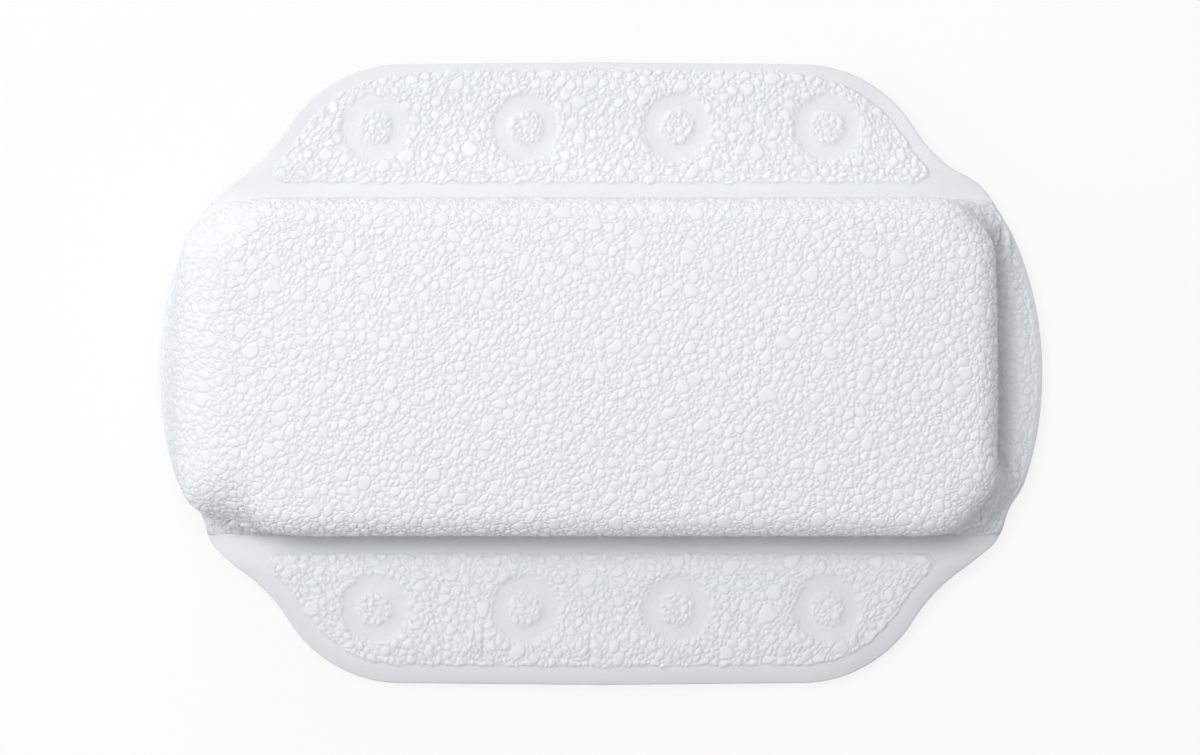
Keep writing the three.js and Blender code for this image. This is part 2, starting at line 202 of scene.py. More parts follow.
# Pad cover: cells of its control mesh, and sections as distance from the pad's middle and height over the
# welds, in millimetres. The reach rounds the corners, and the bow follows the outline.
PAD_CELLS_LONG = 100
PAD_CELLS_WIDE = 40
SECTION_STEPS = (1, 1, 2, 2, 2, 4, 10)
RIGHT_SECTION = (
    (165, 0), (165, 0.5), (161.5, 1), (157, 2.6), (149.2, 1.2), (144.6, 10), (145.8, 29), (137, 38.7),
)
RIGHT_CORNER_SECTION = (
    (165, 0), (165, 0.5), (163, 0.9), (161.5, 3), (159, 7), (156, 13), (149, 28), (137, 38.7),
)
LEFT_SECTION = (
    (165, 0), (165, 0.5), (163.4, 0.8), (162.8, 3), (162.2, 6), (161.2, 10.5), (158.2, 21), (136, 38.7),
)
UPPER_SECTION = (
    (62.6, 0), (62.6, 0.42), (62.3, 2), (61.9, 4.5), (61.7, 7), (61.7, 12), (62.3, 29), (53, 38.7),
)
LOWER_SECTION = (
    (62.4, 0), (62.3, 0.42), (61.7, 2), (61.1, 4.5), (60.8, 7), (60.7, 12), (61.4, 29), (52.6, 38.7),
)
LEFT_REACH = (2, 2, 20, 23, 24, 22, 20, 12)
RIGHT_REACH = (2, 2, 6, 8, 11, 15, 18, 12)
RIGHT_BOW = (1, 1, 1, 0.8, 0.35, 0.15, 0.12, 0.06)
RIGHT_CORNER_BOW = (1, 1, 1, 1, 0.95, 0.85, 0.5, 0.12)
LEFT_BOW = (1, 1, 1, 0.97, 0.88, 0.7, 0.4, 0.12)
RIGHT_CORNER_START = (-30 * MM, 45 * MM)
RIGHT_CORNER_FULL = (-46 * MM, 54 * MM)
CROWN = 3 * MM
RUN_STEPS = 160
DENSE_STEPS = 600
ROUNDING_STEPS = 20
LEVEL_SPREAD = 1.6
LEVEL_MARGIN = 4 * MM

# Foam block: its sections inside the cover
FOAM_STEPS = (2, 2, 2, 3)
FOAM_RIGHT = ((137, 0.6), (141.2, 4), (141.6, 17), (141.6, 28), (132.5, 36.2))
FOAM_LEFT = ((150, 0.6), (156, 5), (155, 12), (151.5, 19), (127, 36.2))
FOAM_UPPER = ((54, 0.6), (58.2, 4), (58.6, 17), (58.4, 28), (50, 36.2))
FOAM_LOWER = ((54, 0.6), (57, 4), (57, 17), (56.8, 28), (48.5, 36.2))
FOAM_REACH = (10, 14, 15, 15, 8)
FOAM_RIGHT_BOW = (0.12, 0.12, 0.12, 0.1, 0.06)
FOAM_LEFT_BOW = (0.9, 0.8, 0.6, 0.4, 0.12)
FOAM_UNEVEN = 0.4 * MM

# Cloth of the cover: how strongly it keeps its place, the heights over the welds where it comes free, and
# where it has slack, as x and y from the pad's middle and radius
CLOTH_FRAMES = 20
CLOTH_PRESSURE = 4.0
CLOTH_REACH = 4 * MM
CLOTH_HOLD = 0.12
CLOTH_SLACK = 0.3
SLACK_LOOSENS = 0.9
SLACK_CORE = 0.3
SLACK_HEIGHT = (1.5 * MM, 4 * MM)
HELD_HEIGHT = (1 * MM, 3 * MM)
SLACK_PLACES = (
    (-143 * MM, -58 * MM, 13 * MM),
    (143 * MM, -58 * MM, 13 * MM),
    (147 * MM, 55 * MM, 11 * MM),
    (-148 * MM, 57 * MM, 9 * MM),
    (149 * MM, -30 * MM, 9 * MM),
    (149 * MM, 25 * MM, 9 * MM),
)

# Where the stuffed corners sag: middle (x and y from the pad's middle, height over the welds), radius and
# shift, all in millimetres, and the heights where the cover comes free of its weld
CORNER_SHIFTS = (
    ((-137, -57, 31), 13, (3, 6, -6)),
    ((-139, -50, 24), 7, (2.5, 2.5, -2)),
    ((141, -56, 31), 12, (-1, 3.5, -5)),
    ((143, 57, 33), 11, (-1, -2, -3)),
    ((-143, 58, 33), 12, (2, -3, -4)),
)
SAG_HEIGHT = (0.8 * MM, 3 * MM)

# Tucks of the cover, as two ends (places as above), half width and depth, with a ridge on both sides
TUCKS = (
    ((-136, -52, 20), (-139.4, -56.4, 8), 0.7, 1.8),
    ((-134, -58, 12), (-132.5, -60, 5), 0.8, 0.9),
    ((-129.5, -60, 9), (-128.5, -61, 3), 0.8, 0.8),
    ((135.8, -54.5, 16), (134.6, -57, 10), 0.8, 2.2),
    ((134.6, -57, 10), (135.8, -59.5, 4), 0.8, 2.2),
    ((138.5, -50.5, 20), (140, -55, 10), 0.8, 1.4),
    ((112, -61, 22), (124, -61, 18), 0.9, 0.7),
    ((124, -61, 18), (133, -60, 20), 0.9, 0.7),
    ((153.8, 51.5, 6), (149.4, 44, 5), 1.2, 4.6),
    ((149.4, 44, 5), (148.4, 38, 5), 1.0, 2.0),
    ((139.3, 59.5, 12), (139.8, 59, 9), 0.8, 0.8),
    ((146, 58, 9), (146.5, 57.5, 7), 0.8, 0.8),
    ((148, 55.5, 7), (148.6, 55, 5), 0.8, 0.8),
    ((150.5, -32.6, 3), (153.8, -41.9, 3), 0.8, 1),
    ((-136, 60.5, 10), (-133, 61.5, 7), 1.6, 1),
)
TUCK_RIDGE = 0.25
TUCK_RIDGE_PLACE = 2.2

# Crumpled patches of the cover: middle as above, radius and height of the crumples
CRUMPLES = (
    ((-133, -58, 12), 8, 0.5),
    ((139, -56, 12), 7, 0.4),
    ((146, 56, 12), 7, 0.3),
)
CRUMPLE_LENGTHS = (2.8, 3.4, 4.3, 5.5, 6.8)
CRUMPLE_TURNS = 3

# Pebbles of the emboss: radius ranges from large to small with tries per square metre, and the relief
PEBBLE_CLASSES = (
    (1.9 * MM, 2.7 * MM, 6_000),
    (1.25 * MM, 1.85 * MM, 110_000),
    (0.75 * MM, 1.2 * MM, 700_000),
    (0.45 * MM, 0.7 * MM, 2_200_000),
)
PEBBLE_PACKING = 0.93
PEBBLE_VALLEY = 0.45 * MM
PEBBLE_SHOULDER = 0.32
PAD_RELIEF = 0.75 * MM
FLAP_RELIEF = 1.1 * MM
PEBBLE_NEIGHBOURS = 18
LARGE_DOME = 0.22
BEAD_DOME = 0.4
PEBBLE_TILT = 0.06
PEBBLE_SIZES = (0.3 * MM, 2 * MM)
BEAD_LIFT = 0.8
LARGE_LIFT = 0.18
PEBBLE_UNEVEN = 0.08
PEBBLE_REACH = (0.5 * MM, 1.2 * MM)
PEBBLE_CHUNK = 20_000
PAD_EMBOSS = (0.45 * MM, 1 * MM)
PAD_AREA = 0.076
EMBOSS_LEAST = 0.05
GRAIN_ANGLE = math.radians(52)
GRAIN_SQUEEZE = 0.88
GRAIN_LENGTHS = (3.6, 4.6, 5.6, 7.4, 9.8, 13)
GRAIN_DRIFT = 0.035
SEED = 7

# Stage: lamps as place, size and power, the floor, and the photograph's frame at the sheets
LAMPS = {
    "window": ((-0.22, 0.2, 1.4), 0.5, 10.7),
    "left_card": ((-1.5, 0.2, 0.6), 0.6, 5.6),
    "upper_card": ((-0.3, 1.5, 0.6), 0.6, 4.6),
}
ROOM_COLOUR = (1.0, 0.967, 0.985, 1)
ROOM_LIGHT = 0.35
FLOOR_REACH = 4.0
FLOOR_DEPTH = 0.2 * MM
FLOOR_GLOW = 0.85
CAMERA_DISTANCE = 2.0
CAMERA_PLACE = (-0.4 * MM, -1.4 * MM)
PICTURE_WIDTH = 448.9 * MM


# Small helpers
def smooth(value, low, high):
    """0 up to low, 1 from high on, and an even rise between them."""
    share = np.clip((value - low) / (high - low), 0, 1)
    return share * share * (3 - 2 * share)


def bell(away, width):
    """1 at a middle, falling off evenly over a width."""
    return np.exp(-(away / width) ** 2)


def wave(points, length, rng):
    """A wave of this length over points, in a direction and phase of its own."""
    direction = rng.normal(size=3)
    direction *= 2 * math.pi / (length * np.linalg.norm(direction))
    return np.sin(points @ direction + rng.uniform(0, 2 * math.pi))


def run_length(points):
    """Length of a run of points."""
    return np.linalg.norm(np.diff(points, axis=0), axis=1).sum()


def spread(points, count):
    """A run of points set out again in count even steps."""
    points = np.asarray(points, float)
    steps = np.linalg.norm(np.diff(points, axis=0), axis=1)
    along = np.concatenate([[0], np.cumsum(steps)])
    wanted = np.linspace(0, along[-1], count + 1)
    return np.stack([np.interp(wanted, along, column) for column in points.T], axis=1)


def patch(bottom, top, left, right):
    """Rows of points that fill four runs: bottom and top from left to right, left and right upwards."""
    u = np.linspace(0, 1, len(bottom))[None, :, None]
    v = np.linspace(0, 1, len(left))[:, None, None]
    between_rows = (1 - v) * bottom[None] + v * top[None]
    between_columns = (1 - u) * left[:, None] + u * right[:, None]
    low = (1 - u) * bottom[0] + u * bottom[-1]
    high = (1 - u) * top[0] + u * top[-1]
    return between_rows + between_columns - (1 - v) * low - v * high


def grid_faces(numbers):
    """Quads over a grid of vertex numbers, seen anticlockwise where rows go up and columns go right."""
    corners = (numbers[:-1, :-1], numbers[:-1, 1:], numbers[1:, 1:], numbers[1:, :-1])
    return np.stack([corner.ravel() for corner in corners], axis=1)


def grid_border(numbers):
    """Vertex numbers round a grid, anticlockwise from its first corner."""
    runs = (numbers[0, :-1], numbers[:-1, -1], numbers[-1, :0:-1], numbers[:0:-1, 0])
    return np.concatenate(runs)


def tree_of(points):
    """Search tree over points."""
    tree = kdtree.KDTree(len(points))
    for index, point in enumerate(points):
        tree.insert(point, index)
    tree.balance()
    return tree


def new_piece(name, vertices, faces, material):
    """A mesh object at the origin with smooth faces."""
    mesh = bpy.data.meshes.new(name)
    mesh.from_pydata(np.asarray(vertices).tolist(), [], [list(face) for face in faces])
    mesh.polygons.foreach_set("use_smooth", np.ones(len(mesh.polygons), bool))
    if material is not None:
        mesh.materials.append(material)
    mesh.update()
    piece = bpy.data.objects.new(name, mesh)
    bpy.context.collection.objects.link(piece)
    return piece


def store(piece, name, values, rest):
    """Keeps a number for each vertex of a piece, for its material to read: first these, then the rest."""
    whole = np.full(len(piece.data.vertices), rest, np.float32)
    whole[:len(values)] = values
    piece.data.attributes.new(name, "FLOAT", "POINT").data.foreach_set("value", whole)


def store_emboss(piece, pebbles, tone, mask):
    """Keeps what the embossed vinyl reads: the pebbles' height and tone, and where it is welded smooth."""
    store(piece, "relief", pebbles, 1)
    store(piece, "tone", tone, 0)
    store(piece, "weld", 1 - mask, 1)


def points_of(mesh):
    """Vertex places of a mesh as rows."""
    flat = np.empty(len(mesh.vertices) * 3)
    mesh.vertices.foreach_get("co", flat)
    return flat.reshape(-1, 3)


def normals_of(mesh):
    """Vertex normals of a mesh as rows."""
    flat = np.empty(len(mesh.vertices) * 3, np.float32)
    mesh.vertex_normals.foreach_get("vector", flat)
    return flat.reshape(-1, 3).astype(float)


# Outline of the cut sheets
def outline_points():
    """The cut sheets' outline as a dense closed run, anticlockwise from the right end."""
    half = [*OUTLINE_CORNERS, (0, SHEET_EDGE, 0)]
    half += [(-x, y, radius) for x, y, radius in reversed(OUTLINE_CORNERS)]
    corners = np.array(half + [(-x, -y, radius) for x, y, radius in half])
    places = corners[:, :2]
    ahead = np.roll(places, -1, axis=0) - places
    side = np.linalg.norm(ahead, axis=1)
    after = ahead / side[:, None]
    before = -np.roll(after, 1, axis=0)
    half_angle = np.arccos((before * after).sum(axis=1)) / 2
    reach = corners[:, 2] / np.tan(half_angle)
    share = np.minimum(1, side / (reach + np.roll(reach, -1)))
    fitted = reach * np.minimum(share, np.roll(share, 1))
    run = []
    for place, back, on, angle, cut in zip(places, before, after, half_angle, fitted):
        if cut == 0:
            run.append(place)
            continue
        middle = (back + on) / np.linalg.norm(back + on)
        radius = cut * math.tan(angle)
        centre = place + middle * radius / math.sin(angle)
        start = place + back * cut - centre
        sweep = math.pi - 2 * angle
        turn = math.copysign(sweep, back[1] * on[0] - back[0] * on[1])
        for step in np.linspace(0, turn, ARC_STEPS + 1):
            cosine, sine = math.cos(step), math.sin(step)
            turned = (cosine * start[0] - sine * start[1], sine * start[0] + cosine * start[1])
            run.append(centre + np.array(turned))
    run.append(run[0])
    even = spread(run, round(run_length(np.array(run)) / OUTLINE_STEP))[:-1]
    dented = even.copy()
    for middle, radius, shift in OUTLINE_DENTS:
        away = np.linalg.norm(even - middle, axis=1)
        dented += bell(away, radius)[:, None] * shift
    return dented


OUTLINE = outline_points()
OUTLINE_TREE = tree_of(np.column_stack([OUTLINE, np.zeros(len(OUTLINE))]))


def edge_distance(flat_points):
    """How far flat points lie from the sheets' cut edge."""
    return np.array([OUTLINE_TREE.find((x, y, 0))[2] for x, y in flat_points])


def end_bow(heights, way):
    """How far the sheets' right end (way 1) or left end (way -1) falls back at places across the pillow."""
    reach = way * OUTLINE[:, 0]
    end = np.column_stack([OUTLINE[:, 1], reach])[reach > FLAP_EDGE]
    end = end[np.argsort(end[:, 0])]
    return SHEET_END - np.interp(heights, end[:, 0], end[:, 1])


# Pebbles of the emboss
def grain_space(points, seed):
    """Points moved by slow waves and squeezed along the grain, so that pebbles are uneven and slanted."""
    rng = np.random.default_rng(seed)
    moved = np.array(points, float)
    for length in GRAIN_LENGTHS:
        for axis in range(3):
            moved[:, axis] += GRAIN_DRIFT * length * MM * wave(points, length * MM, rng)
    grain = np.array([math.cos(GRAIN_ANGLE), math.sin(GRAIN_ANGLE), 0])
    return moved - np.outer(moved @ grain, grain) * (1 - GRAIN_SQUEEZE)


def scatter_pebbles(places, largest, area, rng):
    """Middles and radii of pebbles on a surface, from the large ones to the beads between them."""
    middles = np.empty((0, 3))
    radii = np.empty(0)
    for low, high, tries in PEBBLE_CLASSES:
        larger = tree_of(middles)
        cell = 2 * high
        taken = {}
        kept = []
        for pick in rng.integers(len(places), size=round(tries * area)):
            radius = rng.uniform(low, high)
            place = places[pick]
            if radius > largest[pick]:
                continue
            near = larger.find_n(place, 4)
            if any(gap < (radius + radii[index]) * PEBBLE_PACKING for _, index, gap in near):
                continue
            key = tuple((place // cell).astype(int))
            around = [
                other
                for x in (-1, 0, 1) for y in (-1, 0, 1) for z in (-1, 0, 1)
                for other in taken.get((key[0] + x, key[1] + y, key[2] + z), ())
            ]
            if any(math.dist(place, middle) < (radius + size) * PEBBLE_PACKING for middle, size in around):
                continue
            taken.setdefault(key, []).append((place, radius))
            kept.append((*place, radius))
        added = np.array(kept).reshape(-1, 4)
        middles = np.concatenate([middles, added[:, :3]])
        radii = np.concatenate([radii, added[:, 3]])
    return middles, radii


def pebble_field(points, largest, area, seed):
    """Pebble height from 0 to 1 at points on a surface, and a tone for each pebble."""
    rng = np.random.default_rng(seed)
    space = grain_space(points, seed)
    middles, radii = scatter_pebbles(space, largest, area, rng)
    tree = tree_of(middles)
    full = smooth(radii, *PEBBLE_SIZES)
    lift = BEAD_LIFT + LARGE_LIFT * full + rng.uniform(-PEBBLE_UNEVEN, PEBBLE_UNEVEN, len(radii))
    domes = BEAD_DOME + (LARGE_DOME - BEAD_DOME) * full
    tones = rng.uniform(0, 1, len(radii))
    tilts = rng.normal(0, PEBBLE_TILT, middles.shape)
    height = np.empty(len(space))
    tone = np.empty(len(space))
    for start in range(0, len(space), PEBBLE_CHUNK):
        part = slice(start, start + PEBBLE_CHUNK)
        found = [tree.find_n(point, PEBBLE_NEIGHBOURS) for point in space[part]]
        index = np.array([[hit[1] for hit in hits] for hits in found])
        outside = np.array([[hit[2] for hit in hits] for hits in found]) - radii[index]
        order = np.argsort(outside, axis=1)
        rows = np.arange(len(index))
        first = outside[rows, order[:, 0]]
        second = outside[rows, order[:, 1]]
        owner = index[rows, order[:, 0]]
        valley = PEBBLE_VALLEY + PEBBLE_SHOULDER * radii[owner]
        rise = 1 - (1 - np.clip((second - first) / valley, 0, 1)) ** 2
        inner = np.clip(-first / radii[owner], 0, 1)
        dome = 1 - domes[owner] * (1 - inner) ** 2
        across = (space[part] - middles[owner]) / radii[owner, None]
        tilt = (across * tilts[owner]).sum(axis=1)
        reach = 1 - smooth(first, *PEBBLE_REACH)
        height[part] = rise * (lift[owner] * dome + tilt) * reach
        tone[part] = tones[owner]
    return height, tone


# Materials
def put(tree, socket, value):
    """Gives a socket a plain value, or a link from another node."""
    if isinstance(value, bpy.types.NodeSocket):
        tree.links.new(value, socket)
    else:
        socket.default_value = value


def feed(tree, made, **inputs):
    """Gives a node's named inputs their values or links."""
    for key, value in inputs.items():
        put(tree, made.inputs[key.replace("_", " ")], value)


def shader(name, **inputs):
    """A new material with one principled shader and its plain values."""
    material = bpy.data.materials.new(name)
    material.use_nodes = True
    surface = material.node_tree.nodes["Principled BSDF"]
    feed(material.node_tree, surface, **inputs)
    return material, material.node_tree, surface


def node(tree, kind, settings=None, **inputs):
    """A node with its settings and its input values or links."""
    made = tree.nodes.new(kind)
    for key, value in (settings or {}).items():
        setattr(made, key, value)
    feed(tree, made, **inputs)
    return made


def attribute(tree, name):
    """A number kept on the piece's vertices."""
    return node(tree, "ShaderNodeAttribute", {"attribute_name": name}).outputs["Fac"]


def noise(tree, scale, detail=3.0):
    """Noise over the piece's own coordinates, with scale in lumps to the metre."""
    place = node(tree, "ShaderNodeTexCoord").outputs["Object"]
    return node(tree, "ShaderNodeTexNoise", Vector=place, Scale=scale, Detail=detail).outputs["Fac"]


def worked(tree, operation, first, second=0.0):
    """Result of a sum on one or two numbers."""
    made = node(tree, "ShaderNodeMath", {"operation": operation})
    for socket, value in zip(made.inputs, (first, second)):
        put(tree, socket, value)
    return made.outputs["Value"]


def colour_mix(tree, share, first, second):
    """Two colours mixed by a share."""
    mix = node(tree, "ShaderNodeMix", {"data_type": "RGBA"})
    for index, value in ((0, share), (6, first), (7, second)):
        put(tree, mix.inputs[index], value)
    return mix.outputs[2]


def spanned(tree, value, low, high):
    """A value from 0 to 1 spread between two others."""
    settings = {"clamp": True}
    reach = node(tree, "ShaderNodeMapRange", settings, Value=value, To_Min=low, To_Max=high)
    return reach.outputs["Result"]


def bumped(tree, height, strength, distance):
    """Normal with a fine grain on it."""
    bump = node(tree, "ShaderNodeBump", Height=height, Strength=strength, Distance=distance)
    return bump.outputs["Normal"]


def embossed_vinyl():
    """White foamed vinyl with painted shade in the valleys, a little uneven from pebble to pebble, smooth
    at welds.
    """
    material, tree, surface = shader("embossed_vinyl", Roughness=0.55, Specular_IOR_Level=0.25)
    cloud = noise(tree, 45, 4)
    pebble = colour_mix(tree, cloud, (0.825, 0.855, 0.862, 1), (0.847, 0.872, 0.876, 1))
    uneven = spanned(tree, attribute(tree, "tone"), 0, 0.5)
    tinted = colour_mix(tree, uneven, pebble, (0.83, 0.858, 0.868, 1))
    # Painted shade: where the relief is low, between the pebbles, the colour goes darker and cooler.
    valley = colour_mix(tree, attribute(tree, "relief"), (0.795, 0.825, 0.833, 1), tinted)
    finished = colour_mix(tree, attribute(tree, "weld"), valley, (0.77, 0.787, 0.806, 1))
    rough = spanned(tree, noise(tree, 900, 2), 0.5, 0.66)
    grain = bumped(tree, noise(tree, 3200, 3), 0.12, 0.1 * MM)
    feed(tree, surface, Base_Color=finished, Roughness=rough, Normal=grain)
    return material


def back_vinyl():
    """Smooth white film with a fine haircell grain."""
    material, tree, surface = shader("back_vinyl", Roughness=0.4, Specular_IOR_Level=0.45)
    cloud = noise(tree, 30, 4)
    tint = colour_mix(tree, cloud, (0.78, 0.80, 0.81, 1), (0.83, 0.845, 0.85, 1))
    finished = colour_mix(tree, attribute(tree, "weld"), tint, (0.75, 0.775, 0.79, 1))
    rough = spanned(tree, noise(tree, 700, 2), 0.3, 0.48)
    grain = bumped(tree, noise(tree, 1500, 4), 0.2, 0.15 * MM)
    feed(tree, surface, Base_Color=finished, Roughness=rough, Normal=grain)
    return material


def padding_foam():
    """Cream open-cell foam, with painted shade in the hollows of its cells."""
    material, tree, surface = shader("padding_foam", Roughness=0.95, Specular_IOR_Level=0.2)
    place = node(tree, "ShaderNodeTexCoord").outputs["Object"]
    cells = node(tree, "ShaderNodeTexVoronoi", Vector=place, Scale=900.0).outputs["Distance"]
    # Painted shade: darker and browner towards each cell's middle, where the bump sinks.
    tint = colour_mix(tree, cells, (0.62, 0.57, 0.42, 1), (0.85, 0.81, 0.68, 1))
    feed(tree, surface, Base_Color=tint, Normal=bumped(tree, cells, 0.6, 0.5 * MM))
    return material


def cup_vinyl():
    """Milky clear soft vinyl."""
    material, tree, surface = shader(
        "cup_vinyl", Roughness=0.2, IOR=1.53, Transmission_Weight=0.55, Specular_IOR_Level=0.5,
    )
    cloud = noise(tree, 120, 3)
    tint = colour_mix(tree, cloud, (0.74, 0.80, 0.83, 1), (0.86, 0.89, 0.90, 1))
    rough = spanned(tree, noise(tree, 400, 2), 0.14, 0.3)
    feed(tree, surface, Base_Color=tint, Roughness=rough)
    return material


EMBOSSED = embossed_vinyl()
BACK = back_vinyl()
FOAM = padding_foam()
CUP = cup_vinyl()


# Pad cover
def section_points(section, counts):
    """A section's few points, in steps along a smooth curve through them that ends in a quarter arc."""
    points = np.array(section, float) * MM
    ends = np.concatenate([[2 * points[0] - points[1]], points[:-1], [2 * points[-2] - points[-3]]])
    run = [points[0]]
    for index, steps in enumerate(counts[:-1]):
        before, start, end, after = ends[index:index + 4]
        for share in np.linspace(0, 1, steps + 1)[1:]:
            square = share * share
            cube = square * share
            run.append(
                start + 0.5 * share * (end - before)
                + square * (before - 2.5 * start + 2 * end - 0.5 * after)
                + 0.5 * cube * (3 * start - before - 3 * end + after)
            )
    wall, crown = points[-2:]
    for turn in np.linspace(0, math.pi / 2, counts[-1] + 1)[1:]:
        run.append(np.array([
            crown[0] + (wall[0] - crown[0]) * math.cos(turn),
            wall[1] + (crown[1] - wall[1]) * math.sin(turn),
        ]))
    return np.array(run)


def stepped(values, counts):
    """One value for each ring of a loft, between the values at the sections' points."""
    ends = np.concatenate([[0], np.cumsum(counts)])
    return np.interp(np.arange(ends[-1] + 1), ends, values)


def right_lean(across):
    """How far the right end leans out to its corners at these places across the pad."""
    low, high = RIGHT_CORNER_START
    low_full, high_full = RIGHT_CORNER_FULL
    return 1 - smooth(across, low_full, low) + smooth(across, high, high_full)


def pad_ring(right, corner, left, upper, lower, right_reach, left_reach, right_bow, corner_bow, left_bow):
    """One level of the pad as four runs: lower side, right end, upper side and left end, anticlockwise.
    The ends follow the sheets' outline by the shares of their bows, and their corners are rounded over
    their reaches."""
    across = np.linspace(-lower[0], upper[0], RUN_STEPS)
    lean = right_lean(across)
    right_place = right[0] + (corner[0] - right[0]) * lean
    right_share = right_bow + (corner_bow - right_bow) * lean
    right_end = np.column_stack([right_place - right_share * end_bow(across + PAD_MIDDLE, 1), across])
    left_end = np.column_stack([left_bow * end_bow(across + PAD_MIDDLE, -1) - left[0], across])[::-1]
    lower_side = spread([left_end[-1], right_end[0]], RUN_STEPS)
    upper_side = spread([right_end[-1], left_end[0]], RUN_STEPS)
    runs = [lower_side, right_end, upper_side, left_end]
    heights = [lower[1], corner[1], upper[1], left[1]]
    reaches = [right_reach, right_reach, left_reach, left_reach]
    trimmed = []
    for index, run in enumerate(runs):
        dense = spread(run, DENSE_STEPS)
        length = run_length(dense)
        cuts = [max(1, round(DENSE_STEPS * reaches[turn] / length)) for turn in (index - 1, index)]
        trimmed.append(dense[cuts[0]:-cuts[1]])
    sides = []
    half = ROUNDING_STEPS // 2
    for index, run in enumerate(runs):
        halves = []
        for tip, first, second in (
            (run[0], trimmed[index - 1][-1], trimmed[index][0]),
            (run[-1], trimmed[index][-1], trimmed[(index + 1) % 4][0]),
        ):
            t = np.linspace(0, 1, ROUNDING_STEPS + 1)[:, None]
            halves.append((1 - t) ** 2 * first + 2 * t * (1 - t) * tip + t ** 2 * second)
        whole = np.concatenate([halves[0][half:], trimmed[index], halves[1][:half + 1]])
        count = PAD_CELLS_LONG if index % 2 == 0 else PAD_CELLS_WIDE
        even = spread(whole, count)
        along = np.linspace(0, run_length(even), count + 1)
        start_height = (heights[index - 1] + heights[index]) / 2
        end_height = (heights[index] + heights[(index + 1) % 4]) / 2
        near_start = 1 - smooth(along, 0, LEVEL_SPREAD * reaches[index - 1] + LEVEL_MARGIN)
        near_end = 1 - smooth(along[-1] - along, 0, LEVEL_SPREAD * reaches[index] + LEVEL_MARGIN)
        level = np.full(count + 1, heights[index])
        if index == 1:
            level = right[1] + (corner[1] - right[1]) * right_lean(even[:, 1])
        level += (start_height - heights[index]) * near_start
        level += (end_height - heights[index]) * near_end
        sides.append(np.column_stack([even, level]))
    return sides


def loft(sections, counts, reaches, bows):
    """Control mesh through sections: rings from the lowest level up, and a crowned grid over the last."""
    curves = [section_points(section, counts) for section in sections]
    corner_reaches = [stepped(reach, counts) * MM for reach in reaches]
    end_bows = [stepped(bow, counts) for bow in bows]
    levels = [pad_ring(*level) for level in zip(*curves, *corner_reaches, *end_bows)]
    rings = [np.concatenate([side[:-1] for side in sides]) for sides in levels[:-1]]
    lower_side, right_end, upper_side, left_end = levels[-1]
    top = patch(lower_side, upper_side[::-1], left_end[::-1], right_end)
    rows, columns = top.shape[:2]
    u = np.linspace(-1, 1, columns)[None, :]
    v = np.linspace(-1, 1, rows)[:, None]
    top[:, :, 2] += CROWN * (1 - u ** 4) * (1 - v ** 2)
    ring_size = len(rings[0])
    vertices = np.concatenate([*rings, top.reshape(-1, 3)])
    vertices += (0, PAD_MIDDLE, WELD_PLANE)
    numbers = np.arange(len(rings) * ring_size).reshape(-1, ring_size)
    top_numbers = len(rings) * ring_size + np.arange(rows * columns).reshape(rows, columns)
    loops = np.vstack([numbers, grid_border(top_numbers)])
    loops = np.column_stack([loops, loops[:, :1]])
    faces = np.concatenate([grid_faces(loops), grid_faces(top_numbers)])
    return vertices, faces, loops


def refined(vertices, faces, levels):
    """A mesh after rounds of subdivision, as vertices, normals and quads."""
    rough = new_piece("pad_rough", vertices, faces, None)
    finer = rough.modifiers.new("finer", "SUBSURF")
    finer.levels = levels
    finer.render_levels = levels
    mesh = bpy.data.meshes.new_from_object(rough.evaluated_get(bpy.context.evaluated_depsgraph_get()))
    bpy.data.objects.remove(rough)
    quads = np.empty(len(mesh.loops), np.int32)
    mesh.loops.foreach_get("vertex_index", quads)
    return points_of(mesh), normals_of(mesh), quads.reshape(-1, 4)


def draped(points, quads):
    """The cover after a short cloth simulation: welds held, pressure inside, slack at the corners."""
    bag = new_piece("pad_bag", points, quads, None)
    height = points[:, 2] - WELD_PLANE
    slack = np.zeros(len(points))
    for x, y, radius in SLACK_PLACES:
        away = np.linalg.norm(points[:, :2] - (x, y + PAD_MIDDLE), axis=1)
        slack = np.maximum(slack, 1 - smooth(away, SLACK_CORE * radius, radius))
    slack *= smooth(height, *SLACK_HEIGHT)
    hold = CLOTH_HOLD * (1 - SLACK_LOOSENS * slack)
    hold += (1 - hold) * (1 - smooth(height, *HELD_HEIGHT))
    held = bag.vertex_groups.new(name="held")
    loose = bag.vertex_groups.new(name="loose")
    for index, (weight, extra) in enumerate(zip(hold.tolist(), slack.tolist())):
        held.add([index], weight, "REPLACE")
        loose.add([index], extra, "REPLACE")
    cloth = bag.modifiers.new("cloth", "CLOTH")
    settings = cloth.settings
    settings.quality = 5
    settings.mass = 0.1
    settings.tension_stiffness = 30
    settings.compression_stiffness = 30
    settings.shear_stiffness = 15
    settings.bending_stiffness = 0.1
    settings.vertex_group_mass = held.name
    settings.vertex_group_shrink = loose.name
    settings.shrink_min = 0
    settings.shrink_max = -CLOTH_SLACK
    settings.use_pressure = True
    settings.uniform_pressure_force = CLOTH_PRESSURE
    settings.effector_weights.gravity = 0
    cloth.point_cache.frame_start = 1
    cloth.point_cache.frame_end = CLOTH_FRAMES
    scene = bpy.context.scene
    for step in range(1, CLOTH_FRAMES + 1):
        scene.frame_set(step)
    swollen = bag.evaluated_get(bpy.context.evaluated_depsgraph_get()).to_mesh()
    move = points_of(swollen) - points
    scene.frame_set(1)
    bpy.data.objects.remove(bag)
    far = np.linalg.norm(move, axis=1, keepdims=True)
    return points + move * np.minimum(1, CLOTH_REACH / np.maximum(far, 1e-9))


def pad_place(place):
    """A place given from the pad's middle and the welds, in the frame."""
    return np.array(place) * MM + (0, PAD_MIDDLE, WELD_PLANE)


def cornered(points):
    """The pad's points with its stuffed corners sagging, while the welds stay."""
    free = smooth(points[:, 2] - WELD_PLANE, *SAG_HEIGHT)
    moved = points.copy()
    for middle, radius, shift in CORNER_SHIFTS:
        away = np.linalg.norm(points - pad_place(middle), axis=1)
        moved += (free * bell(away, radius * MM))[:, None] * np.array(shift) * MM
    return moved


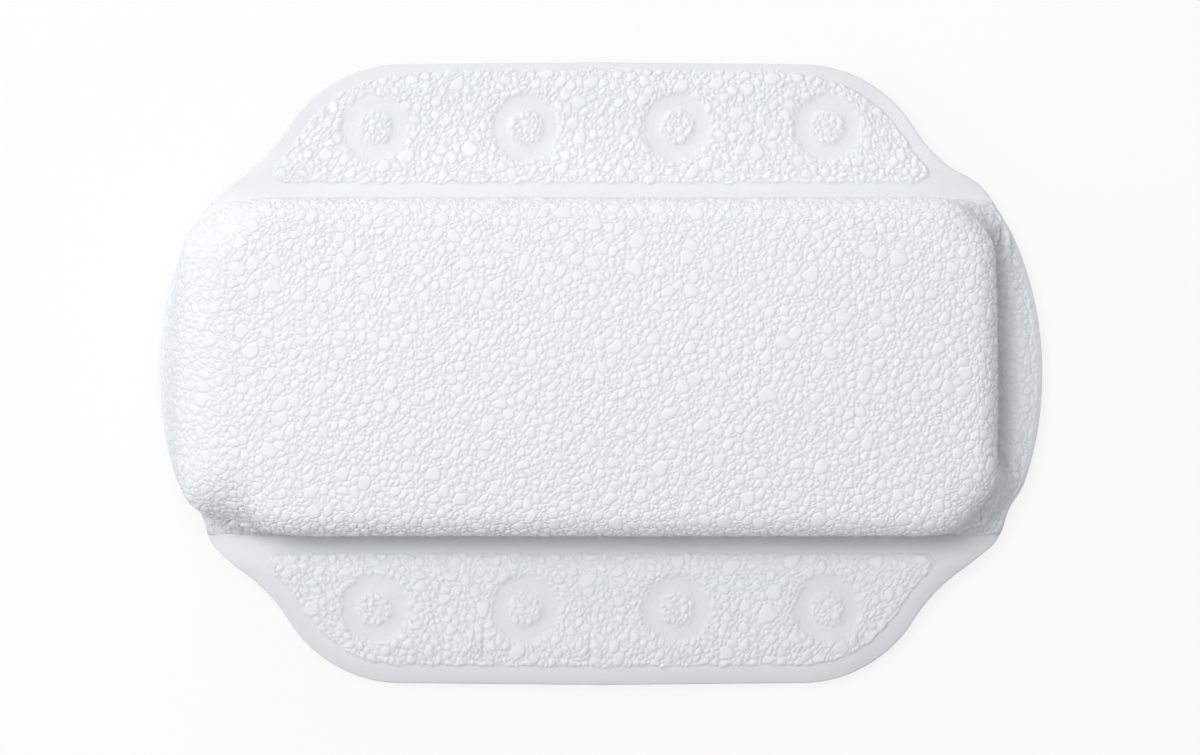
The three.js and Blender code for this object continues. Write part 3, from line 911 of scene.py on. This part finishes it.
def crumpled(points, seed):
    """Height of the crumples at points of the cover."""
    rng = np.random.default_rng(seed)
    creased = np.zeros(len(points))
    for length in CRUMPLE_LENGTHS:
        for turn in range(CRUMPLE_TURNS):
            creased += wave(points, length * MM, rng) / CRUMPLE_TURNS
    height = np.zeros(len(points))
    for middle, radius, amount in CRUMPLES:
        away = np.linalg.norm(points - pad_place(middle), axis=1)
        height += amount * MM * bell(away, radius * MM) * creased
    return height


def tucked(points, normals):
    """The cover with its tucks pressed in along its normals, each with a soft ridge on both sides."""
    depth = -crumpled(points, SEED)
    for first, second, width, amount in TUCKS:
        places = (pad_place(first), pad_place(second))
        start, end = (points[np.argmin(np.linalg.norm(points - place, axis=1))] for place in places)
        run = end - start
        share = np.clip((points - start) @ run / (run @ run), 0, 1)
        away = np.linalg.norm(points - start - share[:, None] * run, axis=1) / (width * MM)
        fade = np.clip(4 * share * (1 - share), 0.02, 1) ** 0.3
        depth += amount * MM * fade * (bell(away, 1) - TUCK_RIDGE * bell(away - TUCK_RIDGE_PLACE, 1))
    return points - normals * depth[:, None]


def piece_normals(points, quads):
    """Vertex normals of a mesh that is given as points and quads."""
    shape = new_piece("shape", points, quads, None)
    normals = normals_of(shape.data)
    bpy.data.objects.remove(shape)
    return normals


def open_border(points, quads, place):
    """Vertex numbers along the open edge of a mesh of quads, from the one nearest to a place."""
    edges = np.stack([quads, np.roll(quads, -1, axis=1)], axis=2).reshape(-1, 2)
    ordered = np.sort(edges, axis=1)
    _, first, count = np.unique(ordered, axis=0, return_index=True, return_counts=True)
    follow = dict(edges[first[count == 1]].tolist())
    start = min(follow, key=lambda number: math.dist(points[number], place))
    run = [start]
    while follow[run[-1]] != start:
        run.append(follow[run[-1]])
    return np.array(run)


def pad_lining(vertices, faces, loops):
    """Inside of the cover: the control mesh moved in by the sheet's thickness."""
    inwards = -piece_normals(vertices, faces)
    thickness = np.full(len(vertices), FRONT_SHEET)
    thickness[loops[:4]] = WELDED_FRONT
    inside = vertices + inwards * thickness[:, None]
    inside[:, 2] = np.maximum(inside[:, 2], WELD_PLANE)
    return inside


def pad_cover():
    """The pad's embossed cover, from its welded edge over walls and crown, with its lining."""
    sections = (RIGHT_SECTION, RIGHT_CORNER_SECTION, LEFT_SECTION, UPPER_SECTION, LOWER_SECTION)
    bows = (RIGHT_BOW, RIGHT_CORNER_BOW, LEFT_BOW)
    vertices, faces, loops = loft(sections, SECTION_STEPS, (RIGHT_REACH, LEFT_REACH), bows)
    points, _, quads = refined(vertices, faces, 1)
    points = cornered(draped(points, quads))
    vertices = points[:len(vertices)]
    points, normals, quads = refined(points, quads, 2)
    mask = smooth(points[:, 2] - WELD_PLANE, *PAD_EMBOSS)
    points = tucked(points, normals)
    normals = piece_normals(points, quads)
    largest = np.where(mask > EMBOSS_LEAST, 1.0, 0.0)
    pebbles, tone = pebble_field(points, largest, PAD_AREA, SEED)
    points = points + normals * (PAD_RELIEF * mask * pebbles)[:, None]
    middle = PAD_CELLS_LONG // 2
    rim = open_border(points, quads, vertices[loops[0, middle]])
    inner = pad_lining(vertices, faces, loops)
    offset = len(points)
    inner_faces = faces[len(loops[0, :-1]) * 2:, ::-1] + offset
    first_inner = loops[2] + offset
    finer = len(rim) // (loops.shape[1] - 1)
    closing = []
    for step in range(loops.shape[1] - 1):
        here = (middle + step) % (loops.shape[1] - 1)
        run = [int(rim[(step * finer + part) % len(rim)]) for part in range(finer, -1, -1)]
        closing.append([*run, int(first_inner[here]), int(first_inner[here + 1])])
    all_points = np.concatenate([points, inner])
    all_faces = [*quads.tolist(), *inner_faces.tolist(), *closing]
    used = np.unique(np.concatenate([quads.ravel(), inner_faces.ravel(), rim]))
    renumber = np.full(len(all_points), -1)
    renumber[used] = np.arange(len(used))
    all_faces = [[renumber[number] for number in face] for face in all_faces]
    piece = new_piece("pad_cover", all_points[used], all_faces, EMBOSSED)
    store_emboss(piece, pebbles, tone, mask)
    return piece


# Flaps
def flap_grid(side, start, columns, rows):
    """Rows of flat points over a flap, from a line beside the pad out to the cut edge."""
    line = PAD_MIDDLE + side * start
    run = OUTLINE[side * (OUTLINE[:, 1] - line) > 0]
    turned = np.argsort(np.arctan2(side * (run[:, 1] - line), run[:, 0]))
    run = run[turned]
    corner = np.array([FLAP_EDGE, side * SHEET_EDGE])
    right_turn = int(np.argmin(np.linalg.norm(run - corner, axis=1)))
    left_turn = int(np.argmin(np.linalg.norm(run - corner * (-1, 1), axis=1)))
    right_foot = (SHEET_END - end_bow(line, 1), line)
    left_foot = (end_bow(line, -1) - SHEET_END, line)
    right = spread([right_foot, *run[:right_turn + 1]], rows)
    left = spread([left_foot, *run[:left_turn - 1:-1]], rows)
    outer = spread(run[right_turn:left_turn + 1], columns)[::-1]
    inner = spread([left_foot, right_foot], columns)
    grid = patch(inner, outer, left, right)
    return grid if side > 0 else grid[:, ::-1]


def sheet_piece(name, grid, fine, coarse, step, up, material):
    """A closed sheet over a grid of flat points: a fine face, one behind it that is step times coarser, and
    the edge between. The fine face looks up or down."""
    rows, columns = grid.shape[:2]
    back = grid[::step, ::step]
    fine_points = np.column_stack([grid.reshape(-1, 2), fine.ravel()])
    coarse_points = np.column_stack([back.reshape(-1, 2), coarse[::step, ::step].ravel()])
    fine_numbers = np.arange(rows * columns).reshape(rows, columns)
    coarse_numbers = rows * columns + np.arange(back.shape[0] * back.shape[1]).reshape(back.shape[:2])
    front_faces = grid_faces(fine_numbers).tolist()
    back_faces = grid_faces(coarse_numbers)[:, ::-1].tolist()
    fine_rim = grid_border(fine_numbers)
    coarse_rim = grid_border(coarse_numbers)
    edge_faces = []
    for index, number in enumerate(coarse_rim):
        run = [int(fine_rim[(index * step + part) % len(fine_rim)]) for part in range(step, -1, -1)]
        edge_faces.append([int(number), int(coarse_rim[(index + 1) % len(coarse_rim)]), *run])
    faces = front_faces + back_faces + edge_faces
    if not up:
        faces = [face[::-1] for face in faces]
    piece = new_piece(name, np.concatenate([fine_points, coarse_points]), faces, material)
    for polygon in piece.data.polygons[-len(edge_faces):]:
        polygon.use_smooth = False
    return piece


def cup_places(row):
    """Flat middles of one row's suction cups."""
    corners = [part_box(f"{row}_suction_cup_{number}") for number in range(1, 5)]
    return [np.array([(low[0] + high[0]) / 2, (low[1] + high[1]) / 2]) for low, high in corners]


def from_cups(flat, row):
    """How far flat points lie from the middle of the nearest cup of a row."""
    return np.min([np.linalg.norm(flat - place, axis=1) for place in cup_places(row)], axis=0)


def soft_step(inwards):
    """Rise of a loose sheet beside its weld: a low quick step, and a long slow one."""
    quick = smooth(inwards, 0, WELD_STEP_WIDTH)
    slow = smooth(inwards, 0, WELD_ROUNDING)
    return WELD_STEP_SHARE * quick + (1 - WELD_STEP_SHARE) * slow


def within_welds(from_border, from_band):
    """How far points lie inside a flap's pebbled area, whose two acute corners are rounded."""
    short_of_border = np.maximum(WELD_ROUNDING - from_border, 0)
    short_of_band = np.maximum(WELD_ROUNDING - from_band, 0)
    return WELD_ROUNDING - np.hypot(short_of_border, short_of_band)


def waves(flat, lengths, seed):
    """Even mix of waves of these lengths in millimetres, each in a direction of its own."""
    rng = np.random.default_rng(seed)
    height = np.zeros(len(flat))
    for length in lengths:
        for turn in range(2):
            angle = rng.uniform(0, math.pi)
            along = flat @ np.array([math.cos(angle), math.sin(angle)])
            height += np.sin(along * 2 * math.pi / (length * MM) + rng.uniform(0, 2 * math.pi))
    return height / len(lengths)


def flap_wrinkles(flat):
    """Two upright creases at the lower flap's edge, each beside a soft swelling."""
    height = np.zeros(len(flat))
    for x, y, depth in FLAP_CREASES:
        across = flat[:, 0] - x - CREASE_SLANT * (flat[:, 1] - y)
        reach = depth * bell(flat[:, 1] - y, CREASE_REACH)
        height -= reach * bell(across, CREASE_WIDTH)
        height += SWELLING * reach * bell(across + SWELLING_WIDTH, SWELLING_WIDTH)
    return height


def shoulder_lift(flat, beyond):
    """How far a flap's ends rise beyond the band along its fold."""
    ends = smooth(np.abs(flat[:, 0]), SHOULDER_START, SHOULDER_END)
    return SHOULDER_LIFT * ends * smooth(beyond, -SHOULDER_FADE, SHOULDER_FADE)


def weld_border(flat, side):
    """Width of a flap's welded border, which is narrow along the middle of the upper edge."""
    if side < 0:
        return np.full(len(flat), LOWER_BORDER)
    ends = smooth(np.abs(flat[:, 0]), UPPER_BORDER_START, UPPER_BORDER_END)
    return UPPER_BORDER_MIDDLE + (UPPER_BORDER - UPPER_BORDER_MIDDLE) * ends


def border_droop(distance, border, side):
    """How far a flap's welded border rolls down towards its cut edge."""
    droop = UPPER_DROOP if side > 0 else LOWER_DROOP
    return droop * (1 - np.clip(distance / (border + DROOP_MARGIN), 0, 1)) ** 2


def flap_front(row, side, seed):
    """The embossed front of a flap: smooth at its welds, and full and pebbled between them."""
    grid = flap_grid(side, FLAP_START, FLAP_COLUMNS, FLAP_ROWS)
    flat = grid.reshape(-1, 2)
    distance = edge_distance(flat)
    border = weld_border(flat, side)
    beyond = side * (flat[:, 1] - PAD_MIDDLE) - BAND_OUTER
    from_cup = from_cups(flat, row)
    inside = within_welds(distance - border, beyond)
    loose = soft_step(inside)
    hollow = smooth(from_cup, *HOLLOW_START) * (1 - smooth(from_cup, *HOLLOW_END))
    height = WELDED_FRONT + (FLAP_SHEET - WELDED_FRONT) * loose - RING_DEPTH * hollow * loose
    edge_drop = WELDED_FRONT * CUT_EDGE_DROP * (1 - smooth(distance, 0, CUT_EDGE))
    wander = WELD_WANDER * waves(flat, WANDER_LENGTHS, seed + 1)
    mask = smooth(inside + wander, *FLAP_EMBOSS)
    in_ring = smooth(from_cup + wander, *RING_FACE_START)
    in_ring *= 1 - smooth(from_cup + wander, *RING_FACE_END)
    mask *= 1 - RING_PRESS * in_ring
    surface = np.column_stack([flat, np.full(len(flat), WELD_PLANE)])
    largest = np.where(mask < EMBOSS_LEAST, 0, np.where(from_cup < RING_INNER, BUTTON_PEBBLE, 1.0))
    pebbles, tone = pebble_field(surface, largest, FLAP_AREA, seed)
    height += FLAP_WAVE * waves(flat, FLAP_WAVE_LENGTHS, seed) * loose
    if side < 0:
        height += flap_wrinkles(flat) * loose
    base = WELD_PLANE + shoulder_lift(flat, beyond) - border_droop(distance, border, side)
    fine = (base + height - edge_drop + FLAP_RELIEF * mask * pebbles).reshape(grid.shape[:2])
    coarse = base.reshape(grid.shape[:2])
    piece = sheet_piece(f"{row}_flap_front_sheet", grid, fine, coarse, FLAP_COARSER, True, EMBOSSED)
    store_emboss(piece, pebbles, tone, mask)
    return piece


# Back films
def flap_back(row, side):
    """The smooth film behind a flap."""
    grid = flap_grid(side, BACK_SPLIT, FILM_COLUMNS, FILM_ROWS)
    flat = grid.reshape(-1, 2)
    distance = edge_distance(flat)
    beyond = side * (flat[:, 1] - PAD_MIDDLE) - BAND_OUTER
    border = weld_border(flat, side)
    inside = smooth(distance, border - FILM_EDGE, border + FILM_EDGE)
    welded = 1 - inside * smooth(beyond, -FILM_EDGE, FILM_EDGE)
    from_cup = from_cups(flat, row)
    base = shoulder_lift(flat, beyond) - border_droop(distance, border, side)
    from_flange = from_cup - CUP_FLANGE
    slack = (1 - welded) * smooth(from_flange, *FILM_SLACK)
    bead = FILM_BEAD * bell(from_flange - FILM_BEAD_GAP, FILM_BEAD_WIDTH)
    waved = FILM_WAVE * slack * waves(flat, FILM_WAVE_LENGTHS, SEED + side)
    relief = FILM_STEP * welded - bead + waved
    fine = (BACK_FACE + base + relief).reshape(grid.shape[:2])
    coarse = (WELD_PLANE + base).reshape(grid.shape[:2])
    piece = sheet_piece(f"{row}_flap_back_film", grid, fine, coarse, FILM_COARSER, False, BACK)
    store(piece, "weld", welded, 1)
    return piece


def pad_back():
    """The smooth film behind the pad."""
    level = PAD_MIDDLE + np.linspace(-BACK_SPLIT, BACK_SPLIT, PAD_FILM_STEPS)
    right = spread(np.column_stack([SHEET_END - end_bow(level, 1), level]), PAD_FILM_ROWS)
    left = spread(np.column_stack([end_bow(level, -1) - SHEET_END, level]), PAD_FILM_ROWS)
    lower = spread([left[0], right[0]], PAD_FILM_COLUMNS)
    upper = spread([left[-1], right[-1]], PAD_FILM_COLUMNS)
    grid = patch(lower, upper, left, right)
    flat = grid.reshape(-1, 2)
    distance = edge_distance(flat)
    welded = 1 - smooth(distance, PAD_BORDER - FILM_EDGE, PAD_BORDER + FILM_EDGE)
    from_fold = BACK_SPLIT - np.abs(flat[:, 1] - PAD_MIDDLE)
    inside = np.minimum(distance - PAD_BORDER, from_fold)
    bulge = FILM_BULGE * smooth(inside, 0, PAD_FILM_RISE)
    waved = smooth(inside, *PAD_FILM_WAVE_RISE) * waves(flat, PAD_FILM_WAVE_LENGTHS, SEED)
    bulge += PAD_FILM_WAVE * FILM_WAVE * waved
    fine = (BACK_FACE + FILM_STEP * welded - bulge).reshape(grid.shape[:2])
    coarse = (WELD_PLANE - bulge).reshape(grid.shape[:2])
    piece = sheet_piece("pad_back_film", grid, fine, coarse, 1, False, BACK)
    store(piece, "weld", welded, 1)
    return piece


def foam_block():
    """The foam inside the cover, cut and a little uneven."""
    sections = (FOAM_RIGHT, FOAM_RIGHT, FOAM_LEFT, FOAM_UPPER, FOAM_LOWER)
    bows = (FOAM_RIGHT_BOW, FOAM_RIGHT_BOW, FOAM_LEFT_BOW)
    vertices, faces, loops = loft(sections, FOAM_STEPS, (FOAM_REACH, FOAM_REACH), bows)
    rim = loops[0, :-1]
    corners = np.cumsum([0, PAD_CELLS_LONG, PAD_CELLS_WIDE, PAD_CELLS_LONG])
    numbers = np.empty((PAD_CELLS_WIDE + 1, PAD_CELLS_LONG + 1), int)
    within = numbers[1:-1, 1:-1]
    within[:] = len(vertices) + np.arange(within.size).reshape(within.shape)
    numbers[0, :] = rim[corners[0]:corners[1] + 1]
    numbers[:, -1] = rim[corners[1]:corners[2] + 1]
    numbers[-1, ::-1] = rim[corners[2]:corners[3] + 1]
    numbers[::-1, 0] = np.append(rim[corners[3]:], rim[0])
    borders = [vertices[run] for run in (numbers[0], numbers[-1], numbers[:, 0], numbers[:, -1])]
    base = patch(*borders)[1:-1, 1:-1].reshape(-1, 3)
    faces = np.concatenate([faces, grid_faces(numbers)[:, ::-1]])
    points, normals, quads = refined(np.concatenate([vertices, base]), faces, 1)
    rng = np.random.default_rng(SEED)
    points = cornered(points - normals * rng.uniform(0, FOAM_UNEVEN, (len(points), 1)))
    return new_piece("foam_block", points, quads, FOAM)


# Suction cups
def cup_section():
    """Half section of a cup: from its hollow's roof round the rim, skirt, neck and flange to its middle."""
    inside = np.linspace(0, CUP_RIM - CUP_LAND, 12)
    hollow = [(radius, CUP_HOLLOW * (1 - (radius / inside[-1]) ** 2)) for radius in inside]
    lip = CUP_LIP / 2
    turns = np.linspace(-math.pi / 2, math.pi / 2, 7)
    rim = [(CUP_RIM - lip + lip * math.cos(turn), lip + lip * math.sin(turn)) for turn in turns]
    roof = CUP_HOLLOW + CUP_WALL
    skirt = [
        (CUP_RIM - lip + (CUP_NECK - CUP_RIM + lip) * share, CUP_LIP + (roof - CUP_LIP) * share ** 1.15)
        for share in np.linspace(0, 1, 9)[1:]
    ]
    under = CUP_TOP - CUP_FLANGE_THICKNESS
    neck = [
        (CUP_NECK - CUP_WAIST * math.sin(math.pi * share), roof + (under - CUP_FILLET - roof) * share)
        for share in np.linspace(0, 1, 7)[1:]
    ]
    quarter = np.linspace(0, math.pi / 2, 5)[1:]
    fillet = [
        (CUP_NECK + CUP_FILLET * (1 - math.cos(turn)), under - CUP_FILLET * (1 - math.sin(turn)))
        for turn in quarter
    ]
    edge = CUP_FLANGE_THICKNESS / 2
    flange = [
        (CUP_FLANGE - edge + edge * math.cos(turn), under + edge + edge * math.sin(turn))
        for turn in turns
    ]
    return hollow + rim + skirt + neck + fillet + flange + [(0, CUP_TOP)]


def cup_tree():
    """Node tree that turns a section about a cup's axis, with the numbers of its named inputs."""
    tree = bpy.data.node_groups.new("suction_cup", "GeometryNodeTree")
    tree.is_modifier = True
    sockets = {
        "Section": "NodeSocketObject",
        "Section Points": "NodeSocketInt",
        "Segments": "NodeSocketInt",
        "Place": "NodeSocketVector",
        "Finish": "NodeSocketMaterial",
    }
    inputs = {
        name: tree.interface.new_socket(name, in_out="INPUT", socket_type=kind).identifier
        for name, kind in sockets.items()
    }
    tree.interface.new_socket("Cup", in_out="OUTPUT", socket_type="NodeSocketGeometry")
    given = node(tree, "NodeGroupInput").outputs
    rows = given["Section Points"]
    sheet = node(
        tree, "GeometryNodeMeshGrid",
        Size_X=1.0, Size_Y=1.0, Vertices_X=given["Segments"], Vertices_Y=rows,
    ).outputs["Mesh"]
    place = node(tree, "GeometryNodeInputPosition").outputs["Position"]
    across = node(tree, "ShaderNodeSeparateXYZ", Vector=place).outputs
    steps = worked(tree, "SUBTRACT", rows, 1.0)
    row = worked(tree, "MULTIPLY", worked(tree, "ADD", across["Y"], 0.5), steps)
    index = node(tree, "FunctionNodeFloatToInt", {"rounding_mode": "ROUND"}, Float=row).outputs["Integer"]
    section = node(tree, "GeometryNodeObjectInfo", Object=given["Section"]).outputs["Geometry"]
    settings = {"data_type": "FLOAT_VECTOR"}
    sample = node(tree, "GeometryNodeSampleIndex", settings, Geometry=section, Value=place, Index=index)
    half = node(tree, "ShaderNodeSeparateXYZ", Vector=sample.outputs["Value"]).outputs
    turn = worked(tree, "MULTIPLY", across["X"], 2 * math.pi)
    x = worked(tree, "MULTIPLY", half["X"], worked(tree, "COSINE", turn))
    y = worked(tree, "MULTIPLY", half["X"], worked(tree, "SINE", turn))
    turned = node(tree, "ShaderNodeCombineXYZ", X=x, Y=y, Z=half["Z"]).outputs["Vector"]
    shape = sheet
    for kind, extra in (
        ("SetPosition", {"Position": turned, "Offset": given["Place"]}),
        ("MergeByDistance", {"Distance": 0.01 * MM}),
        ("SetShadeSmooth", {}),
        ("RealizeInstances", {}),
        ("SetMaterial", {"Material": given["Finish"]}),
    ):
        shape = node(tree, f"GeometryNode{kind}", Geometry=shape, **extra).outputs["Geometry"]
    node(tree, "NodeGroupOutput", Cup=shape)
    return tree, inputs


def suction_cup(name, place, tree, inputs, section):
    """One suction cup as a plain mesh, made by the node tree at its place."""
    maker = new_piece(name, [], [], None)
    turned = maker.modifiers.new("turned", "NODES")
    turned.node_group = tree
    turned[inputs["Section"]] = section
    turned[inputs["Section Points"]] = len(section.data.vertices)
    turned[inputs["Segments"]] = CUP_SEGMENTS + 1
    turned[inputs["Place"]] = place
    turned[inputs["Finish"]] = CUP
    mesh = bpy.data.meshes.new_from_object(maker.evaluated_get(bpy.context.evaluated_depsgraph_get()))
    maker.modifiers.clear()
    maker.data = mesh
    return maker


# Stage
def floor():
    """Plain pale floor under the pillow's suction cups."""
    corners = [(x * FLOOR_REACH, y * FLOOR_REACH, 0) for x, y in ((-1, -1), (1, -1), (1, 1), (-1, 1))]
    grey = (0.86, 0.86, 0.86, 1)
    material, tree, surface = shader("pale_floor", Base_Color=grey, Roughness=0.9, Specular_IOR_Level=0.1)
    rays = node(tree, "ShaderNodeLightPath").outputs
    seen = worked(tree, "MAXIMUM", rays["Is Camera Ray"], rays["Is Glossy Ray"])
    clear = worked(tree, "MAXIMUM", seen, rays["Is Transmission Ray"])
    glow = node(tree, "ShaderNodeEmission", Color=(1, 1, 1, 1), Strength=1.0)
    mix = node(tree, "ShaderNodeMixShader")
    shares = (worked(tree, "MULTIPLY", clear, FLOOR_GLOW), surface.outputs[0], glow.outputs[0])
    for socket, value in zip(mix.inputs, shares):
        put(tree, socket, value)
    tree.links.new(mix.outputs[0], tree.nodes["Material Output"].inputs["Surface"])
    piece = new_piece("floor", corners, [(0, 1, 2, 3)], material)
    piece.location.z = -FLOOR_DEPTH


def area_light(name, place, size, power):
    """A square lamp that faces the pillow."""
    lamp = bpy.data.lights.new(name, "AREA")
    lamp.size = size
    lamp.energy = power
    holder = bpy.data.objects.new(name, lamp)
    holder.location = place
    holder.rotation_mode = "QUATERNION"
    holder.rotation_quaternion = (-Vector(place)).to_track_quat("-Z", "Y")
    bpy.context.collection.objects.link(holder)


def light():
    """Soft light from above, low cards beyond the left end and the upper flap, and an even room."""
    for name, (place, size, power) in LAMPS.items():
        area_light(name, place, size, power)
    world = bpy.data.worlds.new("room")
    bpy.context.scene.world = world
    world.use_nodes = True
    background = world.node_tree.nodes["Background"]
    feed(world.node_tree, background, Color=ROOM_COLOUR, Strength=ROOM_LIGHT)


def camera():
    """Straight above the pillow, with the photograph's frame at the sheets."""
    lens = bpy.data.cameras.new("camera")
    lens.lens = lens.sensor_width * CAMERA_DISTANCE / PICTURE_WIDTH
    holder = bpy.data.objects.new("camera", lens)
    holder.location = (*CAMERA_PLACE, WELD_PLANE + CAMERA_DISTANCE)
    bpy.context.collection.objects.link(holder)
    bpy.context.scene.camera = holder


bpy.context.scene.view_settings.view_transform = "Standard"
camera()
light()
floor()

cover = pad_cover()
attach(cover, "pad")
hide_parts("pad_front_cover")

foam = foam_block()
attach(foam, "pad")
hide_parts("foam_core")

pad_film = pad_back()
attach(pad_film, "pad")
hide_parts("pad_back_sheet")

section = new_piece("cup_section", [(radius, 0, height) for radius, height in cup_section()], [], None)
cup_nodes, cup_inputs = cup_tree()
for row, side in (("upper", 1), ("lower", -1)):
    front = flap_front(row, side, SEED + 10 + side)
    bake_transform(front)
    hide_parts(f"{row}_flap_front")
    film = flap_back(row, side)
    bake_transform(film)
    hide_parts(f"{row}_flap_back")
    for number, (x, y) in enumerate(cup_places(row), 1):
        cup = suction_cup(f"{row}_cup_{number}", (x, y, 0), cup_nodes, cup_inputs, section)
        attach(cup, f"{row}_cup_{number}")
        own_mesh(cup)
        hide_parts(f"{row}_suction_cup_{number}")
bpy.data.objects.remove(section)
